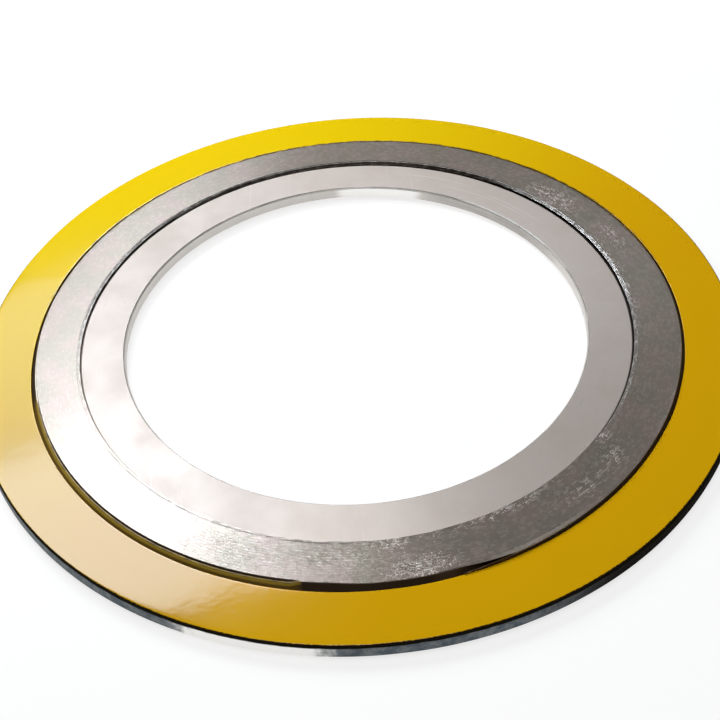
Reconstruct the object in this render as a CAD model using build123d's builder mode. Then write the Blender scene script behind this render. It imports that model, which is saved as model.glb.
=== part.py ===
from build123d import *
import os

# Spiral wound gasket: a V-section winding held between an inner ring and an outer centring ring.
# Millimetres. +Z is the gasket's axis and the origin is its centre.

# Winding: a V-section steel strip and a graphite filler strip, wound together
winding_thickness = 4.5
winding_start_radius = 64.0  # to the strip's edge at its start, inside
turn_pitch = 0.92  # one strip and one filler
grooved_turns = 9  # turns that hold filler
strip_thickness = 0.2
filler_recess = 0.12  # from the strip's edges down to the middle of the filler
vee_depth = 1.8  # from a turn's edges out to its crest
start_angle = 134.0  # where the strip starts, inside
end_sweep = 211.0  # how far past the start angle its free end lies, outside

# Outer centring ring
ring_thickness = 3.0  # both rings
outer_ring_width = 11.69  # on its faces, from the groove's edge to the rim
groove_depth = 0.95
crest_clearance = 0.05  # least gap from the last turn's crest to the bottom of the groove
rim_chamfer = 0.25

# Inner ring
inner_ring_width = 9.66  # on its faces, from the bore to the nose's edge
nose_depth = 2.1
nose_flat = 0.3  # along the axis, at the tip of the nose
nose_clearance = 0.12  # least gap from the nose to the hollow of the first turn
bore_chamfer = 0.35

# Worked out from the dimensions above
half_turn = 180.0
half_winding = winding_thickness / 2
half_ring = ring_thickness / 2
vee_slope = vee_depth / half_winding
centre_shift = turn_pitch / 4  # from the axis to the centre of each half turn
first_radius = winding_start_radius + centre_shift
second_radius = first_radius + 2 * centre_shift
last_turn = (grooved_turns + 1) * turn_pitch  # from the first turn's edge to the last turn's
last_crest = second_radius + last_turn + turn_pitch + vee_depth
groove_radius = last_crest + crest_clearance
groove_edge = groove_radius - groove_depth
rim_radius = groove_edge + outer_ring_width
nose_radius = winding_start_radius + vee_depth - vee_slope * nose_flat / 2 - nose_clearance
nose_edge = nose_radius - nose_depth
bore_radius = nose_edge - inner_ring_width

# The strip is wound in half circles about two centres, so a turn ends one pitch further out.
# Seen from above it goes clockwise from its start to its free end.
start_side = Vector(1, 0, 0).rotate(Axis.Z, start_angle)
clockwise = start_side.cross(Vector(0, 0, 1))
first_centre = start_side * -centre_shift
second_centre = start_side * centre_shift
first_plane = Plane(origin=first_centre, x_dir=start_side, z_dir=clockwise)
second_plane = Plane(origin=second_centre, x_dir=-start_side, z_dir=-clockwise)


def winding_section(inner_edge, grooves):
    """Outline of neighbouring turns: a bare steel one, then those with a groove over their filler."""
    upper = [(inner_edge, half_winding)]
    for groove in range(grooves):
        steel_edge = inner_edge + (groove + 1) * turn_pitch
        filler_middle = steel_edge + (strip_thickness + turn_pitch) / 2
        upper.append((steel_edge, half_winding))
        upper.append((filler_middle, half_winding - filler_recess))
    outer_edge = inner_edge + (grooves + 1) * turn_pitch
    upper.append((outer_edge, half_winding))
    lower = [(radius, -height) for radius, height in reversed(upper)]
    return upper + [(outer_edge + vee_depth, 0)] + lower + [(inner_edge + vee_depth, 0)]


def wind(plane, section, sweep):
    """Turn a section of the winding clockwise about its plane's origin."""
    with BuildSketch(plane) as outline:
        with BuildLine():
            Polyline(section, close=True)
        make_face()
    revolve(outline.sketch, axis=Axis(plane.origin, (0, 0, -1)), revolution_arc=sweep)


with BuildPart() as winding:
    wind(first_plane, winding_section(first_radius, grooved_turns), half_turn)
    wind(second_plane, winding_section(second_radius, grooved_turns), half_turn)
    # The last turn is bare steel and stops at the strip's free end
    wind(first_plane, winding_section(first_radius + last_turn, 0), min(end_sweep, half_turn))
    if end_sweep > half_turn:
        wind(second_plane, winding_section(second_radius + last_turn, 0), end_sweep - half_turn)

with BuildPart() as outer_ring:
    with BuildSketch(Plane.XZ):
        with BuildLine():
            Polyline(
                (groove_edge, half_ring),
                (rim_radius, half_ring),
                (rim_radius, -half_ring),
                (groove_edge, -half_ring),
                (groove_radius, 0),
                close=True,
            )
        make_face()
    revolve(axis=Axis.Z)
    chamfer(outer_ring.edges().filter_by(GeomType.CIRCLE).group_by(SortBy.RADIUS)[-1], rim_chamfer)

with BuildPart() as inner_ring:
    with BuildSketch(Plane.XZ):
        with BuildLine():
            Polyline(
                (bore_radius, half_ring),
                (nose_edge, half_ring),
                (nose_radius, nose_flat / 2),
                (nose_radius, -nose_flat / 2),
                (nose_edge, -half_ring),
                (bore_radius, -half_ring),
                close=True,
            )
        make_face()
    revolve(axis=Axis.Z)
    chamfer(inner_ring.edges().filter_by(GeomType.CIRCLE).group_by(SortBy.RADIUS)[0], bore_chamfer)

winding.part.label = "winding"
outer_ring.part.label = "outer_ring"
inner_ring.part.label = "inner_ring"

os.makedirs("parts", exist_ok=True)
export_step(winding.part, "parts/winding.step")
export_step(outer_ring.part, "parts/outer_ring.step")
export_step(inner_ring.part, "parts/inner_ring.step")
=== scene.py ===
import math
import bpy
import numpy as np
from mathutils import Matrix, Vector


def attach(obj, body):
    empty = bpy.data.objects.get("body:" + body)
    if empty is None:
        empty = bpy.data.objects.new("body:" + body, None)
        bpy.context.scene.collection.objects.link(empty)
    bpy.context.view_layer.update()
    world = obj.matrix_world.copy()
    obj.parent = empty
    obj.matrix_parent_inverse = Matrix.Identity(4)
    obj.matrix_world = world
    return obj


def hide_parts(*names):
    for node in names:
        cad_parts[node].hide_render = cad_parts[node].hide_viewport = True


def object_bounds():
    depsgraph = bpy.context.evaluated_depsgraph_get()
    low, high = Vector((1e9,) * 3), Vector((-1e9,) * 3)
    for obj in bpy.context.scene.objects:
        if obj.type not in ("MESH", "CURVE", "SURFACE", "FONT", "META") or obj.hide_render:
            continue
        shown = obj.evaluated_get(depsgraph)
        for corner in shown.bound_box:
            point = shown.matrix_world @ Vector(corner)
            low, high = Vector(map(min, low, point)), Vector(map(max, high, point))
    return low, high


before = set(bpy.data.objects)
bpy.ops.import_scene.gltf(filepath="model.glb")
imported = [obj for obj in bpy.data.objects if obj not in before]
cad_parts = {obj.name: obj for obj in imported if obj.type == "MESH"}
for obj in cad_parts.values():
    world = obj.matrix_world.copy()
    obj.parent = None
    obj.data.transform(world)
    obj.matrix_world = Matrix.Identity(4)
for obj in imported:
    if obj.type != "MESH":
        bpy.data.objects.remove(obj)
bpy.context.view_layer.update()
mm = 0.001  # the sizes below are millimetres, the scene is in metres
sameEdge = 0.01  # how far apart a CAD node's corners may be and still count as one edge
black = (0.0, 0.0, 0.0)
print("frame loaded:", sorted(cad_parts))


# Radius r = sqrt(x^2 + y^2) and height of a CAD node's corners, and which of them are on its top face
def ringCorners(node):
    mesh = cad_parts[node].data
    flat = np.empty(len(mesh.vertices) * 3)
    mesh.vertices.foreach_get("co", flat)
    points = flat.reshape(-1, 3) / mm
    height = points[:, 2]
    return np.hypot(points[:, 0], points[:, 1]), height, height > height.max() - sameEdge


# 0 up to the start, then rising evenly to 1 over the length
def ramp(value, start, length):
    return np.clip((value - start) / length, 0, 1)


# Bell round a direction: exp(-(angle apart / reach)^2)
def bell(angle, middle, reach):
    apart = (angle - middle + 180) % 360 - 180
    return np.exp(-(apart / reach) ** 2)


# Whole numbers of waves, moved by a random drift, with random strengths, less for fast ones, and starts
def drawWaves(slowest, fastest, seed, drift=0.0):
    draw = np.random.default_rng(seed)
    waves = np.arange(slowest, fastest + 1)
    strengths = draw.normal(size=len(waves)) / np.sqrt(waves / slowest)
    starts = draw.uniform(0, 2 * math.pi, len(waves))
    return waves + draw.normal(size=len(waves)) * drift, strengths, starts


# Smooth noise round a circle: sum of a_k cos(k t + p_k) for whole k, scaled to stay within -1..1
def roundNoise(angles, slowest, fastest, seed):
    waves, strengths, starts = drawWaves(slowest, fastest, seed)
    total = (strengths[:, None] * np.cos(waves[:, None] * angles.ravel() + starts[:, None])).sum(0)
    return (total / np.abs(total).max()).reshape(angles.shape)


# Outline through corners, each rounded by an arc of its radius that touches both sides:
# the arc starts and ends radius / tan(half corner angle) from the corner;
# points along a side stand at (1 - cos(pi u)) / 2, closest beside the arcs
def roundedOutline(corners, radii, arcSteps, sideSteps):
    corners = np.asarray(corners, float)
    arcs = []
    for i, (corner, radius) in enumerate(zip(corners, radii)):
        back = corners[i - 1] - corner
        ahead = corners[(i + 1) % len(corners)] - corner
        back, ahead = back / np.linalg.norm(back), ahead / np.linalg.norm(ahead)
        halfAngle = math.acos(np.clip(back @ ahead, -1, 1)) / 2
        reach = radius / math.tan(halfAngle)
        middle = (back + ahead) / np.linalg.norm(back + ahead)
        centre = corner + middle * radius / math.sin(halfAngle)
        start, end = corner + back * reach - centre, corner + ahead * reach - centre
        turn = math.atan2(start[0] * end[1] - start[1] * end[0], start @ end)
        steps = np.linspace(0, turn, arcSteps)
        arc = np.stack([np.cos(steps) * start[0] - np.sin(steps) * start[1],
                        np.sin(steps) * start[0] + np.cos(steps) * start[1]], 1)
        arcs.append(centre + arc)
    outline = []
    for i, arc in enumerate(arcs):
        following = arcs[(i + 1) % len(arcs)][0]
        between = (1 - np.cos(np.linspace(0, math.pi, sideSteps + 2)))[1:-1, None] / 2
        outline += [arc, arc[-1] + (following - arc[-1]) * between]
    return np.concatenate(outline)


# Directions round a ring as one column, clockwise, so that faces point outwards
def wayRound(steps):
    return -np.linspace(0, 2 * math.pi, steps, endpoint=False)[:, None]


# Section points carried round the axis: x = r cos t, y = r sin t, z = z
def carried(radius, angle, height):
    return np.stack([radius * np.cos(angle), radius * np.sin(angle), height + 0 * angle], -1)


# A mesh from a grid of points (rows, columns, 3) in mm. Columns run round the section and always close;
# rows either close on the first one, or have both ends filled by the section itself.
def gridPiece(name, grid, closedRows):
    rows, columns = grid.shape[:2]
    index = np.arange(rows * columns).reshape(rows, columns)
    nextRow = np.roll(index, -1, 0) if closedRows else index[1:]
    thisRow = index if closedRows else index[:-1]
    quads = np.stack([thisRow, np.roll(thisRow, -1, 1), np.roll(nextRow, -1, 1), nextRow], -1)
    loops = quads.ravel()
    starts = np.arange(0, len(loops), 4)
    if not closedRows:
        starts = np.concatenate([starts, [len(loops), len(loops) + columns]])
        loops = np.concatenate([loops, index[0][::-1], index[-1]])
    mesh = bpy.data.meshes.new(name)
    mesh.vertices.add(rows * columns)
    mesh.vertices.foreach_set("co", (grid * mm).ravel())
    mesh.loops.add(len(loops))
    mesh.loops.foreach_set("vertex_index", loops.astype(np.int32))
    mesh.polygons.add(len(starts))
    mesh.polygons.foreach_set("loop_start", starts.astype(np.int32))
    mesh.update(calc_edges=True)
    mesh.validate()
    piece = bpy.data.objects.new(name, mesh)
    bpy.context.scene.collection.objects.link(piece)
    return piece


# One number per point of a piece, for its material to read
def markPoints(piece, name, values):
    marks = piece.data.attributes.new(name, "FLOAT", "POINT")
    marks.data.foreach_set("value", np.ascontiguousarray(values, dtype=np.float32).ravel())


# Shade smooth, apart from edges sharper than the angle
def smoothShade(piece, degrees):
    piece.data.polygons.foreach_set("use_smooth", np.ones(len(piece.data.polygons), bool))
    piece.data.set_sharp_from_angle(angle=math.radians(degrees))


def newMaterial(name):
    material = bpy.data.materials.new(name)
    material.use_nodes = True
    return material, material.node_tree, material.node_tree.nodes["Principled BSDF"]


# Adds a node; settings are its properties, inputs its socket values or the sockets that feed them
def addNode(tree, kind, settings=None, inputs=None):
    node = tree.nodes.new(kind)
    for key, value in (settings or {}).items():
        setattr(node, key, value)
    for key, value in (inputs or {}).items():
        if isinstance(value, bpy.types.NodeSocket):
            tree.links.new(value, node.inputs[key])
        else:
            node.inputs[key].default_value = value
    return node


def calc(tree, operation, *values):
    return addNode(tree, "ShaderNodeMath", {"operation": operation}, dict(enumerate(values))).outputs[0]


def plus(tree, first, second):
    return calc(tree, "ADD", first, second)


def minus(tree, first, second):
    return calc(tree, "SUBTRACT", first, second)


def times(tree, first, second):
    return calc(tree, "MULTIPLY", first, second)


def vectorCalc(tree, operation, inputs):
    return addNode(tree, "ShaderNodeVectorMath", {"operation": operation}, inputs).outputs


# Smooth step from 0 at the low value to 1 at the high one, or the other way if low > high
def step(tree, value, low, high):
    return addNode(tree, "ShaderNodeMapRange", {"interpolation_type": "SMOOTHSTEP"},
                   {"Value": value, "From Min": low, "From Max": high}).outputs[0]


# Two colours mixed: the first at factor 0, the second at 1
def blend(tree, factor, first, second):
    node = addNode(tree, "ShaderNodeMix", {"data_type": "RGBA"})
    for socket, value in ((node.inputs[0], factor), (node.inputs[6], first), (node.inputs[7], second)):
        if isinstance(value, bpy.types.NodeSocket):
            tree.links.new(value, socket)
        else:
            socket.default_value = (*value, 1) if isinstance(value, tuple) else value
    return node.outputs[2]


def noise(tree, vector, scale, detail=2.0, roughness=0.5):
    return addNode(tree, "ShaderNodeTexNoise", None,
                   {"Vector": vector, "Scale": scale, "Detail": detail, "Roughness": roughness}).outputs[0]


# A number marked on the piece's points
def marked(tree, name):
    return addNode(tree, "ShaderNodeAttribute", {"attribute_name": name}).outputs["Fac"]


# Object coordinates in mm, with the distance from the axis, the direction round it and the height
def ringPlace(tree):
    coordinates = addNode(tree, "ShaderNodeTexCoord").outputs["Object"]
    point = vectorCalc(tree, "SCALE", {0: coordinates, "Scale": 1 / mm})[0]
    flat = vectorCalc(tree, "MULTIPLY", {0: point, 1: (1, 1, 0)})[0]
    return {
        "point": point,
        "radius": vectorCalc(tree, "LENGTH", {0: flat})["Value"],
        "direction": vectorCalc(tree, "NORMALIZE", {0: flat})[0],
        "height": addNode(tree, "ShaderNodeSeparateXYZ", None, {0: point}).outputs[2],
    }


# Noise drawn out along the turns, read at (cos t * around, sin t * around, (radius - height) * across)
def turnedNoise(tree, place, around, across, detail, roughness=0.5):
    wide = vectorCalc(tree, "SCALE", {0: place["direction"], "Scale": around})[0]
    apart = addNode(tree, "ShaderNodeSeparateXYZ", None, {0: wide}).outputs
    depth = times(tree, minus(tree, place["radius"], place["height"]), across)
    spot = addNode(tree, "ShaderNodeCombineXYZ", None, {0: apart[0], 1: apart[1], 2: depth}).outputs[0]
    return noise(tree, spot, 1.0, detail, roughness)


# 1 on one stretch round the axis and 0 elsewhere. A stretch is (middle, half spread, feather) in degrees,
# anticlockwise: the cosine of the angle to the middle is stepped over the feather beside the spread.
def sector(tree, place, stretch):
    middle, halfSpread, feather = (math.radians(degrees) for degrees in stretch)
    toMiddle = (math.cos(middle), math.sin(middle), 0)
    cosine = vectorCalc(tree, "DOT_PRODUCT", {0: place["direction"], 1: toMiddle})["Value"]
    return step(tree, cosine, math.cos(halfSpread + feather), math.cos(halfSpread))


def bump(tree, height, distance):
    return addNode(tree, "ShaderNodeBump", None, {"Height": height, "Distance": distance * mm}).outputs[0]


# Turned metal: its shine spreads across the turns, so the tangent runs round the axis
def turnedShine(tree, shader, amount):
    shader.inputs["Anisotropic"].default_value = amount
    shader.inputs["Anisotropic Rotation"].default_value = 0.25
    tangent = addNode(tree, "ShaderNodeTangent", {"direction_type": "RADIAL", "axis": "Z"}).outputs[0]
    tree.links.new(tangent, shader.inputs["Tangent"])


outerRing = {
    "aroundSteps": 720,
    "edgeRounding": 0.12,
    "grooveRounding": 0.08,
    "lowerChamfer": 0.15,  # of the rim's lower edge
    "lowerRounding": 0.05,
    "lip": 0.38,  # how far the painted inner edge stands in over the groove
    "lipWave": 0.10,
    "fullerLip": ((176.0, 17.0, 0.28), (322.0, 38.0, 0.16)),  # direction, reach, and how much fuller
    "underside": 0.30,  # sag of the underside
    "flare": 0.18,  # of the sheared rim
    "rimSwell": 0.35,  # the rim stands out a little round the front
    "swellMiddle": 305.0,
    "swellReach": 65.0,
    "rollOff": 0.012,  # drop of the paint towards the rim, and how wide it is
    "rollWidth": 0.6,
    "rimWobble": 0.05,
    "faceWave": 0.012,
    "rimWaves": (6, 60, 11),  # fewest and most waves round the ring, and the seed
    "lipWaves": (2, 40, 13),
    "faceWaves": (2, 7, 12),
    "yellow": (0.87, 0.62, 0.0005),
    # painted shade: the yellow is deeper and darker round the front, on the side away from the lamps
    "frontShadeYellow": (0.80, 0.44, 0.0),
    "frontShadeStretch": (305.0, 70.0, 95.0),
    # painted shade: stretches where the lamps' glare lies, each with a share of black
    "glareShadeStretches": (((223.0, 16.0, 13.0), 0.20), ((180.0, 14.0, 8.0), 0.08)),  # with a share of black
    "grime": (0.22, 0.125, 0.012),
    "grimyStretch": (90.0, 60.0, 30.0),
    "raggedPaint": 0.34,  # how far the paint's outer edge wanders
    # painted shade: near-black along the rim's top edge
    "scale": (0.020, 0.016, 0.010),
    "dullSteel": (0.045, 0.041, 0.035),
    "blueSteel": (0.10, 0.125, 0.145),
    "greySteel": (0.21, 0.23, 0.24),
    "blueStretch": (250.0, 36.0, 18.0),
    # painted reflection of the white floor, bright on one stretch of the rim
    "floorReflectionSteel": (0.95, 0.94, 0.91),
    "floorReflectionStretch": (254.0, 2.0, 13.0),
    "coatRoughness": 0.085,
    "coatIor": 1.6,
}


def outerRingSizes():
    radius, height, onTop = ringCorners("outer_ring")
    middle = (radius.min() + radius.max()) / 2
    return {
        "edge": radius.min(),
        "root": radius[radius < middle].max(),
        "chamferTop": radius[onTop].max(),
        "rim": radius.max(),
        "rimHalf": height[radius > radius.max() - sameEdge].max(),
        "half": height.max(),
    }


# The section turned about the axis: x = r(s, t) cos t, y = r(s, t) sin t, z = z(s, t)
def buildOuterRing():
    size = outerRingSizes()
    bottom = -size["half"] - outerRing["underside"]
    flared = size["rim"] + outerRing["flare"]
    chamfer = outerRing["lowerChamfer"]
    corners = [(size["edge"] - outerRing["lip"], size["half"]), (size["root"], 0), (size["edge"], bottom),
               (flared - chamfer, bottom), (flared, bottom + chamfer),
               (size["rim"], size["rimHalf"]), (size["chamferTop"], size["half"])]
    edge, groove, lower = outerRing["edgeRounding"], outerRing["grooveRounding"], outerRing["lowerRounding"]
    outline = roundedOutline(corners, [edge, groove, groove, lower, lower, edge, edge], 5, 10)
    angle = wayRound(outerRing["aroundSteps"])
    direction = np.degrees(angle)
    r, z = outline[None, :, 0], outline[None, :, 1]
    # the rim's swell and wobble come in over the last 0.6 mm of the face, the lip's wave near the lip alone
    atRim = ramp(r, size["chamferTop"] - 0.6, 0.8)
    atLip = ramp(size["edge"] - r, -0.4, 0.6) * ramp(z, 0, 0.5)
    swell = outerRing["rimSwell"] * bell(direction, outerRing["swellMiddle"], outerRing["swellReach"])
    wobble = (roundNoise(angle, *outerRing["rimWaves"]) - 1) / 2 * outerRing["rimWobble"]
    fuller = sum(more * bell(direction, middle, reach) for middle, reach, more in outerRing["fullerLip"])
    lip = roundNoise(angle, *outerRing["lipWaves"]) * outerRing["lipWave"] - fuller
    rolled = ramp(r, size["chamferTop"] - outerRing["rollWidth"], outerRing["rollWidth"]) ** 2
    wave = (roundNoise(angle, *outerRing["faceWaves"]) - 1) / 2 * outerRing["faceWave"]
    height = z * (1 + wave / size["half"]) - rolled * outerRing["rollOff"] * (z > 0)
    grid = carried(r + atRim * (wobble + swell) + atLip * lip, angle, height)
    piece = gridPiece("centring_ring", grid, True)
    markPoints(piece, "across", r + 0 * angle)
    smoothShade(piece, 35)
    return piece, size


# The paint, deeper and darker round the front as painted shade on the side away from the lamps, with a
# ragged brown line along its inner edge round the back
def enamelColour(tree, place, across, size):
    frontShade = plus(tree, sector(tree, place, outerRing["frontShadeStretch"]),
                times(tree, noise(tree, place["point"], 0.05, 3), 0.2))
    paint = blend(tree, minus(tree, frontShade, 0.1), outerRing["yellow"], outerRing["frontShadeYellow"])
    drips = turnedNoise(tree, place, 30, 0.5, 3, 0.6)
    lipEdge = size["edge"] - outerRing["lip"]
    grime = step(tree, plus(tree, across, times(tree, drips, -1.3)), lipEdge - 0.15, lipEdge - 0.50)
    grime = times(tree, grime, sector(tree, place, outerRing["grimyStretch"]))
    paint = blend(tree, times(tree, grime, 0.9), paint, outerRing["grime"])
    # painted shade: the paint is darkened where the lamps' glare lies
    paintedShade = 0.0
    for stretch, share in outerRing["glareShadeStretches"]:
        paintedShade = plus(tree, paintedShade, times(tree, sector(tree, place, stretch), share))
    return blend(tree, paintedShade, paint, black)


# The bare rim: near-black along its top edge, painted shade for the dark room it mirrors; below that a
# painted reflection of the white floor makes one stretch bright, a longer one is blue-grey and the rest
# dark. Also gives how metallic it is.
def rimSteel(tree, place, size):
    streaks = turnedNoise(tree, place, 26, 0.9, 3, 0.6)
    height = plus(tree, place["height"], times(tree, streaks, 0.5))
    below = step(tree, height, size["rimHalf"] - 0.15, size["rimHalf"] - 0.50)
    blue = times(tree, sector(tree, place, outerRing["blueStretch"]), below)
    chips = noise(tree, place["point"], 0.45, 4, 0.7)
    # painted reflection of the white floor on one stretch, broken by chips
    bright = minus(tree, sector(tree, place, outerRing["floorReflectionStretch"]), times(tree, chips, 0.9))
    bright = times(tree, step(tree, bright, -0.1, 0.45), below)
    grey = step(tree, chips, 0.4, 0.65)
    blueTone = blend(tree, grey, outerRing["blueSteel"], outerRing["greySteel"])
    steel = blend(tree, below, outerRing["scale"], outerRing["dullSteel"])
    steel = blend(tree, blue, steel, blueTone)
    steel = blend(tree, bright, steel, outerRing["floorReflectionSteel"])
    return steel, calc(tree, "MAXIMUM", bright, times(tree, blue, 0.6))


def enamelMaterial(size):
    material, tree, shader = newMaterial("yellow_enamel")
    place = ringPlace(tree)
    across = marked(tree, "across")
    ragged = minus(tree, noise(tree, place["point"], 1.3, 4, 0.65), 0.5)
    worn = plus(tree, across, times(tree, ragged, outerRing["raggedPaint"]))
    bare = step(tree, worn, size["chamferTop"] - 0.10, size["chamferTop"] + 0.06)
    steel, metallic = rimSteel(tree, place, size)
    colour = blend(tree, bare, enamelColour(tree, place, across, size), steel)
    tree.links.new(colour, shader.inputs["Base Color"])
    tree.links.new(times(tree, bare, metallic), shader.inputs["Metallic"])
    fine = noise(tree, place["point"], 2.2, 3)
    tree.links.new(plus(tree, 0.36, times(tree, fine, 0.08)), shader.inputs["Roughness"])
    tree.links.new(minus(tree, 1.0, bare), shader.inputs["Coat Weight"])
    shader.inputs["Coat Roughness"].default_value = outerRing["coatRoughness"]
    shader.inputs["Coat IOR"].default_value = outerRing["coatIor"]
    shader.inputs["Specular IOR Level"].default_value = 0.0
    relief = plus(tree, times(tree, noise(tree, place["point"], 0.9, 1), 0.6), times(tree, fine, 0.12))
    sway = plus(tree, times(tree, noise(tree, place["point"], 0.07, 2), 5.0), relief)
    tree.links.new(bump(tree, relief, 0.012), shader.inputs["Normal"])
    tree.links.new(bump(tree, sway, 0.009), shader.inputs["Coat Normal"])
    return material


centringRing, outerSize = buildOuterRing()
centringRing.data.materials.append(enamelMaterial(outerSize))
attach(centringRing, "root")
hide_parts("outer_ring")
print("centring ring made")


innerRing = {
    "aroundSteps": 720,
    "edgeRounding": 0.06,
    "fuller": 0.22,  # how far the flat faces run on towards the nose
    "faceWave": 0.01,  # as a share of the height
    "faceWaves": (2, 9, 21),  # fewest and most waves round the ring, and the seed
    "steel": (0.70, 0.618, 0.560),
    "stain": (0.64, 0.558, 0.500),
    "scratched": (0.86, 0.82, 0.78),
    "straightScratches": ((0.9, 0.0), (2.3, 40.0)),  # each set's direction in radians, and its shift
    "arcScratches": (  # radius and stretch
        (57.9, (50.0, 9.0, 5.0)), (59.0, (43.0, 6.0, 5.0)), (60.4, (66.0, 4.0, 5.0))),
    # painted shade on the nose, in the gap beside the winding
    "nose": (0.07, 0.055, 0.045),
    "noseShadeStretch": (20.0, 80.0, 40.0),
    "boreSteel": (0.84, 0.80, 0.75),
    # painted shade and a painted highlight on stretches of the bore
    "shadedBore": (0.42, 0.40, 0.37),
    "shadedBoreStretch": (44.0, 14.0, 12.0),
    "highlightBore": (0.99, 0.98, 0.95),
    "highlightBoreStretch": (80.5, 5.5, 9.0),
    # painted shade along the bore's top edge, and a painted glint on a stretch of it
    "edgeShadeLine": (0.10, 0.085, 0.075),
    "paintedGlintStretch": (41.0, 12.0, 6.0),
    "roughness": 0.33,
    "shineSpread": 0.55,
}


def innerRingSizes():
    radius, height, onTop = ringCorners("inner_ring")
    return {
        "bore": radius.min(),
        "boreHalf": height[radius < radius.min() + sameEdge].max(),
        "chamferTop": radius[onTop].min(),
        "shoulder": radius[onTop].max() + innerRing["fuller"],
        "nose": radius.max(),
        "noseHalf": height[radius > radius.max() - sameEdge].max(),
        "half": height.max(),
    }


# The section turned about the axis, as for the outer ring
def buildInnerRing():
    size = innerRingSizes()
    upper = [(size["nose"], size["noseHalf"]), (size["shoulder"], size["half"]),
             (size["chamferTop"], size["half"]), (size["bore"], size["boreHalf"])]
    lower = [(radius, -height) for radius, height in reversed(upper)]
    corners = upper + lower
    outline = roundedOutline(corners, [innerRing["edgeRounding"]] * len(corners), 5, 8)
    angle = wayRound(innerRing["aroundSteps"])
    wave = (roundNoise(angle, *innerRing["faceWaves"]) - 1) / 2 * innerRing["faceWave"]
    grid = carried(outline[None, :, 0], angle, outline[None, :, 1] * (1 + wave))
    piece = gridPiece("inner_ring_turned", grid, True)
    smoothShade(piece, 30)
    return piece, size


# Clouded satin steel with long straight scratches and a few that follow the ring
def scratchedSteel(tree, place, clouds):
    colour = blend(tree, step(tree, clouds, 0.35, 0.7), innerRing["steel"], innerRing["stain"])
    for turnBy, shift in innerRing["straightScratches"]:
        along = addNode(tree, "ShaderNodeMapping", None, {
            "Vector": place["point"], "Location": (shift, 0, 0), "Rotation": (0, 0, turnBy),
            "Scale": (2.6, 0.025, 0)}).outputs[0]
        scratch = step(tree, noise(tree, along, 1.0, 0), 0.80, 0.84)
        colour = blend(tree, times(tree, scratch, 0.5), colour, innerRing["scratched"])
    for arcRadius, stretch in innerRing["arcScratches"]:
        wandering = plus(tree, arcRadius - 0.6, times(tree, clouds, 1.2))
        offArc = calc(tree, "ABSOLUTE", minus(tree, place["radius"], wandering))
        arc = times(tree, step(tree, offArc, 0.13, 0.04), sector(tree, place, stretch))
        colour = blend(tree, times(tree, arc, 0.7), colour, innerRing["scratched"])
    return colour


# The bore is freshly cut: painted shade makes one stretch duller and a painted highlight makes another
# bright, with a broken dark line of painted shade along its top edge and a painted glint on a part of it.
# Also gives where the painted highlight is.
def cutBore(tree, place, colour, size):
    bored = step(tree, place["radius"], size["chamferTop"] + 0.02, size["chamferTop"] - 0.04)
    cuts = turnedNoise(tree, place, 7, 1.6, 3, 0.6)
    paintedShade = times(tree, sector(tree, place, innerRing["shadedBoreStretch"]), plus(tree, 0.1, cuts))
    tone = blend(tree, paintedShade, innerRing["boreSteel"], innerRing["shadedBore"])
    shiny = plus(tree, sector(tree, place, innerRing["highlightBoreStretch"]), times(tree, cuts, 0.7))
    shiny = times(tree, step(tree, shiny, 0.45, 1.1), bored)
    colour = blend(tree, bored, colour, blend(tree, shiny, tone, innerRing["highlightBore"]))
    fromEdge = calc(tree, "ABSOLUTE", minus(tree, place["radius"], size["chamferTop"] - 0.02))
    broken = step(tree, turnedNoise(tree, place, 5, 0.5, 2), 0.38, 0.52)
    line = times(tree, step(tree, fromEdge, 0.10, 0.03), broken)
    line = times(tree, line, step(tree, place["height"], 0.0, 0.1))
    colour = blend(tree, times(tree, line, 0.8), colour, innerRing["edgeShadeLine"])
    glint = times(tree, step(tree, fromEdge, 0.20, 0.08), sector(tree, place, innerRing["paintedGlintStretch"]))
    return blend(tree, glint, colour, innerRing["highlightBore"]), shiny


def satinSteelMaterial(size):
    material, tree, shader = newMaterial("satin_steel")
    place = ringPlace(tree)
    clouds = noise(tree, place["point"], 0.09, 4, 0.6)
    colour = scratchedSteel(tree, place, clouds)
    # painted shade: the sloping nose beside the winding is darkened on one stretch, for the shade in the
    # gap
    nose = step(tree, place["radius"], size["shoulder"] + 0.02, size["shoulder"] + 0.2)
    nose = times(tree, nose, sector(tree, place, innerRing["noseShadeStretch"]))
    colour = blend(tree, nose, colour, innerRing["nose"])
    colour, shiny = cutBore(tree, place, colour, size)
    tree.links.new(colour, shader.inputs["Base Color"])
    tree.links.new(plus(tree, 0.5, times(tree, shiny, 0.5)), shader.inputs["Metallic"])
    # fine scratches along the turning are smoother and lie a little lower
    scratches = step(tree, turnedNoise(tree, place, 9, 14, 1), 0.70, 0.78)
    rough = plus(tree, innerRing["roughness"], times(tree, clouds, 0.14))
    tree.links.new(minus(tree, rough, times(tree, scratches, 0.12)), shader.inputs["Roughness"])
    relief = plus(tree, turnedNoise(tree, place, 6, 6, 4, 0.7), times(tree, scratches, -0.5))
    tree.links.new(bump(tree, relief, 0.006), shader.inputs["Normal"])
    turnedShine(tree, shader, innerRing["shineSpread"])
    return material


turnedRing, innerSize = buildInnerRing()
turnedRing.data.materials.append(satinSteelMaterial(innerSize))
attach(turnedRing, "root")
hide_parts("inner_ring")
print("inner ring made")


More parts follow.
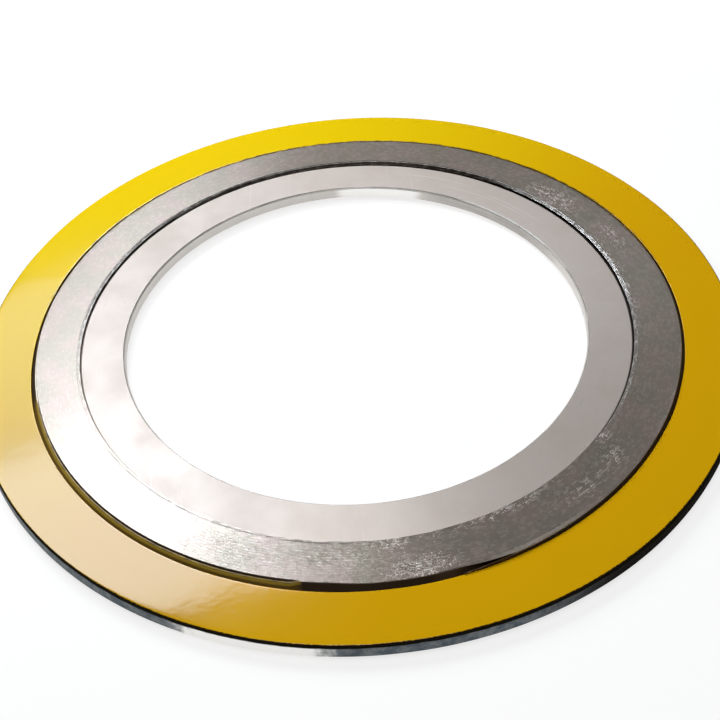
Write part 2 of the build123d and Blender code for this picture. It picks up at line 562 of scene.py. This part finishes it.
winding = {
    "stepsPerTurn": 600,
    "startAngle": 134.0,
    "fullTurns": 19,
    "endSweep": 211.0,  # degrees past the start angle, after the last full turn
    "fillStart": 3.0,  # turns from the strip's start
    "fillEnd": 17.64,
    "fillStartRamp": 150.0,  # degrees over which the filler comes in and goes out
    "fillEndRamp": 5.0,
    "stripThickness": 0.2,
    "plyGap": 0.03,
    "spreadPlies": 0.12,  # how much further apart the inner bare plies stand where they spring
    "spreadMiddle": 40.0,  # direction of that place in degrees, and how far round it reaches
    "spreadReach": 50.0,
    "innerOval": 0.16,  # how far the first turns are drawn out that way
    "outsideIn": 0.66,  # how far the last turn starts inside the CAD winding's edge
    "outOfRound": (  # lobes, amount, direction of one lobe
        (0, 0.17, 0.0), (1, 0.42, 197.0), (2, 0.09, -21.0), (3, 0.09, 2.0)),
    "looseEnd": 1.15,  # how far the free end stands off, and over how many degrees
    "looseReach": 30.0,
    "looseTurns": 1.98,  # how many turns at the end it moves, and how many are smeared with graphite
    "smearedTurns": 1.22,
    "endTaper": 9.0,  # degrees over which the graphite thins out and the strip dips to its free end
    "endDip": 0.45,
    "lowPlyGap": 0.28,  # a stretch of the last ply that stands apart and lower
    "lowPlyDrop": 0.42,
    "lowPlyFrom": 259.0,
    "lowPlyTo": 184.0,
    "ringGap": 0.05,  # least room between the strip and the painted lip, and between two turns
    "turnGap": 0.02,
    "waviness": 0.035,
    "strayWaves": (5, 40, 0.03, 41),  # fewest and most waves a turn, drift from turn to turn, and the seed
    # the inner bare plies: by direction the share to which they sank, and by turn how far they sank,
    # how much lower they lie all round and how uneven they are
    "sunkShare": ((40, 60, 112, 150, 200), (0, 1, 1, 0.5, 0)),
    "sunk": ((0, 1.9, 2.2, 3), (0.42, 0.32, 0.05, 0)),
    "lowered": ((0, 0.9, 1.1, 1.9, 2.1, 3.0, 3.3), (0.22, 0.20, 0.14, 0.12, 0.05, 0.03, 0.004)),
    "uneven": ((0, 1.0, 2.0, 3.2), (0.14, 0.10, 0.04, 0.0)),
    "levelMiddle": 250.0,  # where the bare plies are level with the rest, and how far round that reaches
    "levelReach": 125.0,
    "flush": 0.004,  # how far the filler lies below the strip where all is rubbed level, and how much
    "crumbled": 0.045,  # further where it has crumbled
    "wornPatches": (  # direction, radius, spread in degrees and mm, strength
        (250, 69, 10, 4.5, 0.55), (263, 68, 4.5, 2.4, 0.7), (277.5, 71.8, 3.5, 1.9, 1.0),
        (273.5, 65.2, 2.4, 1.1, 0.9), (309, 70, 4.5, 2.0, 0.4), (317.5, 69.3, 2.8, 1.8, 0.45),
        (321, 65.2, 1.7, 1.6, 0.6), (20, 69.8, 4, 1.3, 1.0), (38.5, 68, 5, 2.6, 1.0),
        (8, 65.2, 12, 0.9, 0.6), (296, 65, 8, 0.9, 0.5)),
    "handledRoughness": 0.012,
}
stripTurns = winding["fullTurns"] + winding["endSweep"] / 360


def windingSizes():
    radius, height, onTop = ringCorners("winding")
    return {
        "start": radius[onTop].min(),
        "edge": radius[onTop].max(),
        "crest": radius.max(),
        "half": height.max(),
    }


# Smooth noise along the strip that changes little from one turn to the next:
# sum of a_k cos(2 pi (k + d_k) w + p_k), where w counts turns and d_k is a small drift
def stripNoise(way, slowest, fastest, drift, seed):
    waves, strengths, starts = drawWaves(slowest, fastest, seed, drift)
    total = strengths @ np.cos(2 * math.pi * waves[:, None] * way.ravel() + starts[:, None])
    return (total / np.abs(total).max()).reshape(way.shape)


# Fine unevenness from step to step along the strip: a draw for each step, smoothed over its neighbours
def grainAlong(way, seed):
    draw = np.random.default_rng(seed)
    return np.convolve(draw.normal(size=len(way)), [0.25, 0.5, 0.25], "same")


# Direction in degrees of a place along the strip: start angle - 360 w
def directionAt(way):
    return winding["startAngle"] - 360 * way


# How worn the face is: sum over the patches of strength * exp(-(turned / spread)^2 - (apart / spread)^2)
def wornShare(way, radius):
    total = 0 * way
    for direction, middle, degrees, apart, strength in winding["wornPatches"]:
        across = np.exp(-((radius - middle) / apart) ** 2)
        total = total + strength * bell(directionAt(way), direction, degrees) * across
    return np.clip(total, 0, 1)


# Share to which a place lies in the low stretch of the last ply, with soft ends
def lowStretch(way):
    degreesOn = (way - (stripTurns - 1)) * 360
    begins = (directionAt(stripTurns) - winding["lowPlyFrom"]) % 360
    ends = (directionAt(stripTurns) - winding["lowPlyTo"]) % 360
    return ramp(degreesOn, begins, 1.5) * ramp(ends - degreesOn, 0, 25)


# Inside radius of the strip at every step of its way: each turn lies on the one before,
# r(w + 1) = r(w) + strip + gap(w) + filler(w), and the first turn grows evenly to meet the second
def stripPath(size):
    perTurn, thick = winding["stepsPerTurn"], winding["stripThickness"]
    rows = winding["fullTurns"] + 1
    way = np.arange(rows)[:, None] + np.arange(perTurn)[None, :] / perTurn
    coming = ramp((way - winding["fillStart"]) * 360, 0, winding["fillStartRamp"])
    going = ramp((winding["fillEnd"] - way) * 360, 0, winding["fillEndRamp"])
    filled = coming * going
    spread = bell(directionAt(way), winding["spreadMiddle"], winding["spreadReach"])
    spread = winding["spreadPlies"] * spread * np.clip(winding["fillStart"] - way, 0, 1)
    bareStep = thick + winding["plyGap"] + spread
    endStep = int(winding["endSweep"] / 360 * perTurn)
    startCosine = math.cos(math.radians(winding["startAngle"] - winding["spreadMiddle"]))
    oval = np.cos(np.radians(directionAt(way[0]) - winding["spreadMiddle"])) - startCosine
    first = size["start"] + bareStep[0, 0] * way[0] + winding["innerOval"] * oval
    # the filler is as thick as it takes for the last turn to end beside the CAD winding's edge
    bareSum = first[endStep] + bareStep[:-2, endStep].sum() + thick
    fillerThickness = (size["edge"] - winding["outsideIn"] - bareSum) / filled[:, endStep].sum()
    # the loose end and the low stretch stand off the turn below them
    degreesLeft = (stripTurns - 1 - way) * 360
    standsOff = winding["looseEnd"] * np.exp(-np.maximum(degreesLeft, 0) / winding["looseReach"])
    standsOff = standsOff * (way > stripTurns - winding["looseTurns"])
    standsOff = standsOff + winding["lowPlyGap"] * lowStretch(way + 1)
    growth = np.cumsum((bareStep + filled * fillerThickness + standsOff)[:-1], 0)
    radius = first + np.concatenate([np.zeros((1, perTurn)), growth])
    steps = (rows - 1) * perTurn + endStep + 1
    way, radius, filled = way.ravel()[:steps], radius.ravel()[:steps], filled.ravel()[:steps]
    depth = ramp(way, winding["fillStart"], winding["fillEnd"] - winding["fillStart"])
    for lobes, amount, direction in winding["outOfRound"]:
        radius = radius + depth * amount * np.cos(np.radians(lobes * (directionAt(way) - direction)))
    stray = winding["waviness"] * stripNoise(way, *winding["strayWaves"])
    return way, radius + stray * np.clip(way * 3, 0, 1), filled, fillerThickness


# How far the legs lean out at mid height: as in the CAD winding, less where the ring or the next turn
# leaves no room
def leanOut(way, outside, size, lip):
    perTurn = winding["stepsPerTurn"]
    lipRoom = (lip["radius"] - winding["ringGap"] - outside) / (1 - lip["height"] / size["half"])
    lean = np.clip(np.minimum(size["crest"] - size["edge"], lipRoom), 0.02, None)
    crest = outside + lean
    for start in range(len(way) - perTurn, -perTurn, -perTurn):
        here = slice(max(start - perTurn, 0), start)
        if here.stop > here.start:
            above = crest[here.start + perTurn:here.stop + perTurn]
            crest[here] = np.minimum(crest[here], above - winding["stripThickness"] - winding["turnGap"])
    return crest - outside


# V-section: a leg leans out by lean * (1 - |z| / half) from the edges to the crest at z = 0
def veeSection(inside, outside, top, foot, lean):
    middle = (inside + outside) / 2
    return [
        (inside, top[0]), (inside + lean, 0 * inside), (inside, -foot[0]), (middle, -foot[1]),
        (outside, -foot[2]), (outside + lean, 0 * outside), (outside, top[2]), (middle, top[1]),
    ]


# The section carried along the spiral, t = start angle - 360 w; each point is marked with its turn, with
# its distance from the nearer edge and with how worn the face is there
def spiralPiece(name, way, section, worn):
    radius = np.stack([point[0] for point in section], 1)
    height = np.stack([point[1] for point in section], 1)
    grid = carried(radius, np.radians(directionAt(way))[:, None], height)
    piece = gridPiece(name, grid, False)
    fromEdge = np.minimum(height.max(1)[:, None] - height, height - height.min(1)[:, None])
    markPoints(piece, "turn", way[:, None] + 0 * radius)
    markPoints(piece, "depth", fromEdge)
    markPoints(piece, "worn", worn[:, None] + 0 * radius)
    smoothShade(piece, 25)
    return piece


# Heights across an edge of the strip: the half thickness less a drop that the bare plies have most of;
# the shoulders are rounder on the bare plies and where the face is worn
def stripEdge(half, way, worn, seed):
    last = way[-1]
    sunk = np.interp(directionAt(way) % 360, *winding["sunkShare"]) * np.interp(way, *winding["sunk"])
    unlevel = 1 - 0.85 * bell(directionAt(way), winding["levelMiddle"], winding["levelReach"])
    uneven = np.interp(way, *winding["uneven"]) * stripNoise(way, 12, 90, 0.1, seed + 1)
    drop = (np.interp(way, *winding["lowered"]) + uneven) * unlevel + sunk
    rough = np.interp(way, [0, 3, 4, last - 2, last - 1, last], [0.03, 0.012, 0.0, 0.004, 0.015, 0.03])
    rough = rough + winding["handledRoughness"] * worn
    dipping = 1 - ramp((last - way) * 360, 0, winding["endTaper"])
    low = winding["lowPlyDrop"] * lowStretch(way) + winding["endDip"] * dipping
    nicked = ramp(way, last - 1.4, 1) * ramp(stripNoise(way, 60, 200, 0.1, seed + 2), 0.4, 1)
    middle = half - np.clip(drop + low + grainAlong(way, seed) * rough + nicked * 0.5, 0, 0.75)
    shoulder = np.interp(way, [0, 2.8, 3.4, last - 1.5, last - 1], [0.04, 0.03, 0.0007, 0.0007, 0.003])
    shoulder = shoulder * np.clip(unlevel * 1.6 - 0.5, 0.02, 1) + 0.02 * worn
    return middle - shoulder, middle, middle - shoulder


# The filler's edge lies a hair below the strip's, lower where it has crumbled
def fillerEdge(half, way, worn, seed):
    crumbs = 1 + 0.6 * stripNoise(way, 40, 180, 0.4, seed + 1)
    depth = winding["flush"] + worn * (winding["crumbled"] * crumbs + 0.012 * grainAlong(way, seed))
    top = half - np.clip(depth, 0.003, 0.3)
    return top, top, top


# The strip, the filler between its turns, and the graphite that is smeared under its loose end
def buildWinding(lip):
    size = windingSizes()
    way, radius, filled, fillerThickness = stripPath(size)
    perTurn = winding["stepsPerTurn"]
    outside = radius + winding["stripThickness"]
    lean = leanOut(way, outside, size, lip)
    worn = wornShare(way, radius)
    top, foot = stripEdge(size["half"], way, worn, 31), stripEdge(size["half"], way, worn, 35)
    strip = spiralPiece("wound_strip", way, veeSection(radius, outside, top, foot, lean), worn)
    between = radius[perTurn:] - outside[:-perTurn]
    smeared = way[:-perTurn] > way[-1] - winding["smearedTurns"]
    fillers = []
    for name, chosen in (("graphite_filler", filled[:-perTurn] > 0.02), ("smeared_graphite", smeared)):
        steps = np.flatnonzero(chosen)
        here, inside = way[steps], outside[steps]
        worn = wornShare(here, inside)
        share = np.clip((way[-1] - 1 - here) * 360 / winding["endTaper"], 0.04, 1)
        outer = inside + np.maximum(between[steps] * share, 0.01)
        top, foot = fillerEdge(size["half"], here, worn, 51), fillerEdge(size["half"], here, worn, 53)
        section = veeSection(inside, outer, top, foot, np.minimum(lean[steps], lean[steps + perTurn]))
        fillers.append(spiralPiece(name, here, section, worn))
    print("winding: filler of", round(fillerThickness, 3), "mm, gaps from", round(between.min(), 3), "mm")
    return strip, fillers, size["half"]


windingLook = {
    "pit": (0.08, 0.07, 0.065),
    "smear": (0.26, 0.19, 0.09),  # brown, over the outermost turns round the back
    "smearEdge": (74.55, 75.5),  # radii over which it comes in
    "smearStretch": (95.0, 50.0, 30.0),
    # painted glints on the bare plies, and painted shade where they have sunk
    "dullPly": (0.40, 0.36, 0.33),
    "paintedGlintPly": (0.86, 0.83, 0.79),
    "shadedPly": (0.055, 0.042, 0.032),
    "shadedPlyGlint": (0.20, 0.165, 0.135),
    "calmStretch": (252.0, 60.0, 25.0),  # here the inner plies look like the rest of the face
    "topPlyStretch": (75.0, 40.0, 15.0),  # here, and on the next stretch, they glint more
    "paintedGlintStretch": (24.0, 16.0, 12.0),
    # painted shade on the sides of the plies, and a painted reflection on the innermost side at the front
    "plySideShade": (0.046, 0.027, 0.011),
    "innerSideReflection": (0.36, 0.33, 0.30),
    "innerReflectionStretch": (245.0, 70.0, 15.0),
    # the yellow on the outermost ply is partly overspray and partly a painted reflection of the yellow
    # ring, darker lower down as painted shade
    "thinSpray": (0.15, 0.09, 0.01),  # yellow overspray on the outermost ply
    "thickSpray": (0.50, 0.35, 0.05),
    "edgeSpray": (0.44, 0.30, 0.03),
    "shadedSpray": (0.14, 0.085, 0.01),
    "sprayStretch": (225.0, 33.5, 1.0),
    "sprayFade": (252.0, 45.0, 20.0),
    "freeEnd": (0.10, 0.06, 0.03),
    "freeEndStretch": (286.0, 4.0, 4.0),
    # painted shade of a groove between the inner plies
    "grooveShade": (0.12, 0.11, 0.10),
    "grooveShadeRadius": 64.35,
    "grooveShadeStretch": (238.0, 20.0, 10.0),
    "metallic": 0.62,
    "shineSpread": 0.87,
}
stripFinish = {
    "tone": (0.472, 0.388, 0.345),
    "coolTone": (0.415, 0.375, 0.312),
    # short bright dashes, partly bare steel and partly painted glints
    "dashGlint": (0.97, 0.94, 0.90),
    "dashShare": 1.0,
    "roughness": 0.17,
}
graphiteFinish = {
    "tone": (0.460, 0.378, 0.336),
    "coolTone": (0.403, 0.365, 0.304),
    # short bright dashes, partly bare steel and partly painted glints
    "dashGlint": (0.80, 0.76, 0.72),
    "dashShare": 0.20,
    "roughness": 0.175,
}


# The face, clouded and finely lined, with short bright dashes, partly bare steel and partly painted glints,
# and dark pits where it is worn
def rubbedFace(tree, place, clouds, worn, finish):
    colour = blend(tree, step(tree, clouds, 0.36, 0.64), finish["tone"], finish["coolTone"])
    lines = times(tree, turnedNoise(tree, place, 14, 4, 3, 0.6), 0.30)
    blotches = times(tree, noise(tree, place["point"], 0.33, 3), 0.16)
    lightness = plus(tree, plus(tree, 0.77, lines), blotches)
    colour = blend(tree, lightness, black, colour)
    dashes = turnedNoise(tree, place, 55, 1.3, 3, 0.6)
    bright = times(tree, step(tree, dashes, 0.52, 0.57), plus(tree, 0.12, times(tree, worn, 0.88)))
    pits = times(tree, step(tree, dashes, 0.42, 0.34), worn)
    colour = blend(tree, times(tree, bright, finish["dashShare"]), colour, finish["dashGlint"])
    return blend(tree, times(tree, pits, 0.5), colour, windingLook["pit"]), bright, pits


# A ragged brown smear over the outermost turns
def brownSmear(tree, place, colour):
    drips = turnedNoise(tree, place, 30, 0.5, 3, 0.6)
    reach = step(tree, plus(tree, place["radius"], times(tree, drips, 2.0)), *windingLook["smearEdge"])
    smear = times(tree, reach, sector(tree, place, windingLook["smearStretch"]))
    return blend(tree, times(tree, smear, 0.9), colour, windingLook["smear"])


# The bare plies at the inside: clean, with painted glints in short lengths, and dark brown with lighter
# streaks where they have sunk, which is painted shade
def barePlies(tree, place, turn, half, colour):
    calm = sector(tree, place, windingLook["calmStretch"])
    plies = times(tree, step(tree, turn, 3.15, 2.95), minus(tree, 1.0, calm))
    topPly = times(tree, step(tree, turn, 2.0, 2.3), sector(tree, place, windingLook["topPlyStretch"]))
    favoured = plus(tree, sector(tree, place, windingLook["paintedGlintStretch"]), topPly)
    glints = plus(tree, turnedNoise(tree, place, 45, 3, 3, 0.65), times(tree, favoured, 0.08))
    glints = step(tree, glints, 0.52, 0.60)
    clean = blend(tree, glints, windingLook["dullPly"], windingLook["paintedGlintPly"])
    shadedPlies = blend(tree, glints, windingLook["shadedPly"], windingLook["shadedPlyGlint"])
    sunk = step(tree, calc(tree, "ABSOLUTE", place["height"]), half - 0.26, half - 0.42)
    colour = blend(tree, plies, colour, clean)
    return blend(tree, times(tree, plies, sunk), colour, shadedPlies), plies, glints


# Yellow on the outermost ply, partly overspray and partly a painted reflection of the yellow ring: specks
# on its edge, an even film below, and darker further down as painted shade
def sprayAndYellowReflection(tree, place, depth, outermost):
    specks = turnedNoise(tree, place, 40, 3, 3, 0.6)
    fading = minus(tree, sector(tree, place, windingLook["sprayFade"]), times(tree, specks, 0.4))
    where = times(tree, sector(tree, place, windingLook["sprayStretch"]), outermost)
    where = times(tree, where, step(tree, fading, 0.0, 0.3))
    thick = step(tree, specks, 0.35, 0.65)
    spray = blend(tree, thick, windingLook["thinSpray"], windingLook["thickSpray"])
    spray = blend(tree, step(tree, depth, 0.08, 0.2), spray, windingLook["edgeSpray"])
    return where, blend(tree, step(tree, depth, 0.35, 0.65), spray, windingLook["shadedSpray"])


# The sides of the plies are dark with painted shade, but lighter on the innermost at the front with a
# painted reflection; the free end is dark as well
def plySides(tree, place, turn, depth, colour):
    side = step(tree, depth, 0.05, 0.16)
    outermost = step(tree, turn, stripTurns - 1.02, stripTurns - 0.98)
    sprayed, spray = sprayAndYellowReflection(tree, place, depth, outermost)
    inner = times(tree, step(tree, turn, 1.02, 0.98), sector(tree, place, windingLook["innerReflectionStretch"]))
    sideColour = blend(tree, inner, windingLook["plySideShade"], windingLook["innerSideReflection"])
    colour = blend(tree, side, colour, blend(tree, sprayed, sideColour, spray))
    colour = blend(tree, times(tree, sprayed, 0.8), colour, spray)
    ended = times(tree, outermost, sector(tree, place, windingLook["freeEndStretch"]))
    return blend(tree, ended, colour, windingLook["freeEnd"]), side, sprayed


# Painted shade in a broken line between the inner plies, where a groove lies
def grooveShadeLine(tree, place, clouds, colour):
    line = plus(tree, windingLook["grooveShadeRadius"], times(tree, clouds, 0.3))
    offLine = calc(tree, "ABSOLUTE", minus(tree, place["radius"], line))
    broken = step(tree, turnedNoise(tree, place, 12, 0.3, 3, 0.6), 0.36, 0.50)
    grooveShade = times(tree, step(tree, offLine, 0.19, 0.09), sector(tree, place, windingLook["grooveShadeStretch"]))
    grooveShade = times(tree, grooveShade, plus(tree, 0.35, times(tree, broken, 0.5)))
    return blend(tree, grooveShade, colour, windingLook["grooveShade"])


# Strip edges and smeared graphite look alike where they are rubbed level, so they share one build-up
def windingMetal(name, finish, half):
    material, tree, shader = newMaterial(name)
    place = ringPlace(tree)
    turn, depth, worn = marked(tree, "turn"), marked(tree, "depth"), marked(tree, "worn")
    clouds = noise(tree, place["point"], 0.16, 4, 0.6)
    colour, bright, pits = rubbedFace(tree, place, clouds, worn, finish)
    colour = brownSmear(tree, place, colour)
    colour, plies, glints = barePlies(tree, place, turn, half, colour)
    colour, side, sprayed = plySides(tree, place, turn, depth, colour)
    colour = grooveShadeLine(tree, place, clouds, colour)
    tree.links.new(colour, shader.inputs["Base Color"])
    metallic = minus(tree, windingLook["metallic"], times(tree, plies, 0.2))
    metallic = minus(tree, metallic, times(tree, bright, 0.35))
    clean = minus(tree, 1.0, calc(tree, "MAXIMUM", side, sprayed))
    tree.links.new(times(tree, metallic, clean), shader.inputs["Metallic"])
    rough = plus(tree, finish["roughness"], times(tree, noise(tree, place["point"], 0.4, 3), 0.08))
    tree.links.new(plus(tree, rough, times(tree, side, 0.4)), shader.inputs["Roughness"])
    grain = times(tree, turnedNoise(tree, place, 11, 2.0, 1), 0.14)
    relief = plus(tree, grain, minus(tree, bright, pits))
    relief = plus(tree, relief, times(tree, times(tree, glints, plies), 0.2))
    tree.links.new(bump(tree, relief, 0.03), shader.inputs["Normal"])
    shader.inputs["Specular IOR Level"].default_value = 0.15
    turnedShine(tree, shader, windingLook["shineSpread"])
    return material


paintedLip = {"radius": outerSize["edge"] - outerRing["lip"], "height": outerSize["half"]}
woundStrip, graphiteFillers, windingHalf = buildWinding(paintedLip)
stripSteel = windingMetal("strip_steel", stripFinish, windingHalf)
graphite = windingMetal("graphite", graphiteFinish, windingHalf)
for piece in (woundStrip, *graphiteFillers):
    piece.data.materials.append(stripSteel if piece is woundStrip else graphite)
    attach(piece, "root")
    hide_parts("winding")
print("winding made")


studio = {
    "floorSize": 4.0,  # metres
    "floorColour": (0.84, 0.84, 0.84),  # as it lights the gasket
    "seenFloorColour": (0.30, 0.30, 0.30),  # as it is seen, together with the glow
    "floorGlow": 0.76,  # round the gasket, rising to 1 between the two distances
    "glowNear": 0.14,  # metres
    "glowFar": 0.60,
    "roomColour": (0.04, 0.04, 0.04),
}
daylight = (0.91, 1.0, 1.11)
# Directions are degrees anticlockwise from +X and degrees up, distances and sizes metres, powers watts
softboxes = {
    "overhead": {"direction": (135.0, 85.0), "distance": 1.5, "size": (0.50, 0.50), "power": 7.4},
    "window": {"direction": (111.2, 50.0), "distance": 2.0, "size": (0.690, 0.350), "power": 4.95,
               "colour": daylight},
    "sideWindow": {"direction": (98.5, 43.5), "distance": 2.0, "size": (0.20, 0.24), "power": 1.30,
                   "colour": daylight},
    "windowFoot": {"direction": (108.5, 41.0), "distance": 2.0, "size": (0.814, 0.28), "power": 1.7,
                   "colour": daylight},
    "nearFill": {"direction": (130.0, 45.0), "distance": 0.30, "size": (0.16, 0.16), "power": 0.54,
                 "mirrored": False},
}
camera = {
    "elevation": 43.901,
    "roll": -4.311,
    "distance": 286.8,
    "target": (0.61, -10.41, 0.0),
    "focalWidths": 1.740278,  # focal length over the frame's width
}


# The floor glows by itself to the eye and to mirrors, and lights the gasket as plain white board does
def whiteFloorMaterial():
    material, tree, shader = newMaterial("white_floor")
    shader.inputs["Roughness"].default_value = 0.9
    shader.inputs["Specular IOR Level"].default_value = 0.0
    rays = addNode(tree, "ShaderNodeLightPath").outputs
    seen = calc(tree, "MAXIMUM", rays["Is Camera Ray"], rays["Is Glossy Ray"])
    seen = calc(tree, "MAXIMUM", seen, rays["Is Transmission Ray"])
    colour = blend(tree, seen, studio["floorColour"], studio["seenFloorColour"])
    tree.links.new(colour, shader.inputs["Base Color"])
    point = addNode(tree, "ShaderNodeTexCoord").outputs["Object"]
    away = vectorCalc(tree, "LENGTH", {0: point})["Value"]
    strength = addNode(tree, "ShaderNodeMapRange", None, {
        "Value": away, "From Min": studio["glowNear"], "From Max": studio["glowFar"],
        "To Min": studio["floorGlow"], "To Max": 1.0}).outputs[0]
    glow = addNode(tree, "ShaderNodeEmission", None, {"Strength": times(tree, seen, strength)})
    both = addNode(tree, "ShaderNodeAddShader", None, {0: shader.outputs[0], 1: glow.outputs[0]})
    tree.links.new(both.outputs[0], tree.nodes["Material Output"].inputs["Surface"])
    return material


def buildFloor():
    half = studio["floorSize"] / 2
    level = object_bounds()[0].z
    mesh = bpy.data.meshes.new("floor")
    corners = [(x, y, level) for x, y in ((-half, -half), (half, -half), (half, half), (-half, half))]
    mesh.from_pydata(corners, [], [(0, 1, 2, 3)])
    floor = bpy.data.objects.new("floor", mesh)
    bpy.context.scene.collection.objects.link(floor)
    floor.data.materials.append(whiteFloorMaterial())


def buildRoom():
    world = bpy.data.worlds.new("room")
    bpy.context.scene.world = world
    world.use_nodes = True
    tree = world.node_tree
    rays = addNode(tree, "ShaderNodeLightPath").outputs
    colour = blend(tree, rays["Is Camera Ray"], studio["roomColour"], (1.0, 1.0, 1.0))
    tree.links.new(colour, tree.nodes["Background"].inputs["Color"])


# Each softbox stands at d (cos e cos a, cos e sin a, sin e) and faces the gasket's centre
def buildSoftboxes():
    for name, box in softboxes.items():
        azimuth, elevation = (math.radians(degrees) for degrees in box["direction"])
        flat = math.cos(elevation)
        way = Vector((flat * math.cos(azimuth), flat * math.sin(azimuth), math.sin(elevation)))
        light = bpy.data.lights.new(name, "AREA")
        light.shape = "RECTANGLE"
        light.size, light.size_y = box["size"]
        light.energy = box["power"]
        light.color = box.get("colour", (1.0, 1.0, 1.0))
        lamp = bpy.data.objects.new(name, light)
        lamp.location = way * box["distance"]
        lamp.rotation_euler = way.to_track_quat("Z", "Y").to_euler()
        lamp.visible_glossy = box.get("mirrored", True)
        bpy.context.scene.collection.objects.link(lamp)


# Camera at target + distance (0, -cos e, sin e), looking back at the target, rolled about its own axis
def buildCamera():
    elevation, roll = math.radians(camera["elevation"]), math.radians(camera["roll"])
    back = Vector((0, -math.cos(elevation), math.sin(elevation)))
    level, up = Vector((1, 0, 0)), back.cross(Vector((1, 0, 0)))
    right = level * math.cos(roll) + up * math.sin(roll)
    above = up * math.cos(roll) - level * math.sin(roll)
    lens = bpy.data.cameras.new("camera")
    lens.lens = camera["focalWidths"] * lens.sensor_width
    lens.clip_start = 0.01
    turn = Matrix((right, above, back)).transposed().to_4x4()
    turn.translation = (Vector(camera["target"]) + back * camera["distance"]) * mm
    eye = bpy.data.objects.new("camera", lens)
    eye.matrix_world = turn
    bpy.context.scene.collection.objects.link(eye)
    bpy.context.scene.camera = eye


buildFloor()
buildRoom()
buildSoftboxes()
buildCamera()
bpy.context.scene.view_settings.view_transform = "Standard"
print("floor, light and camera made")
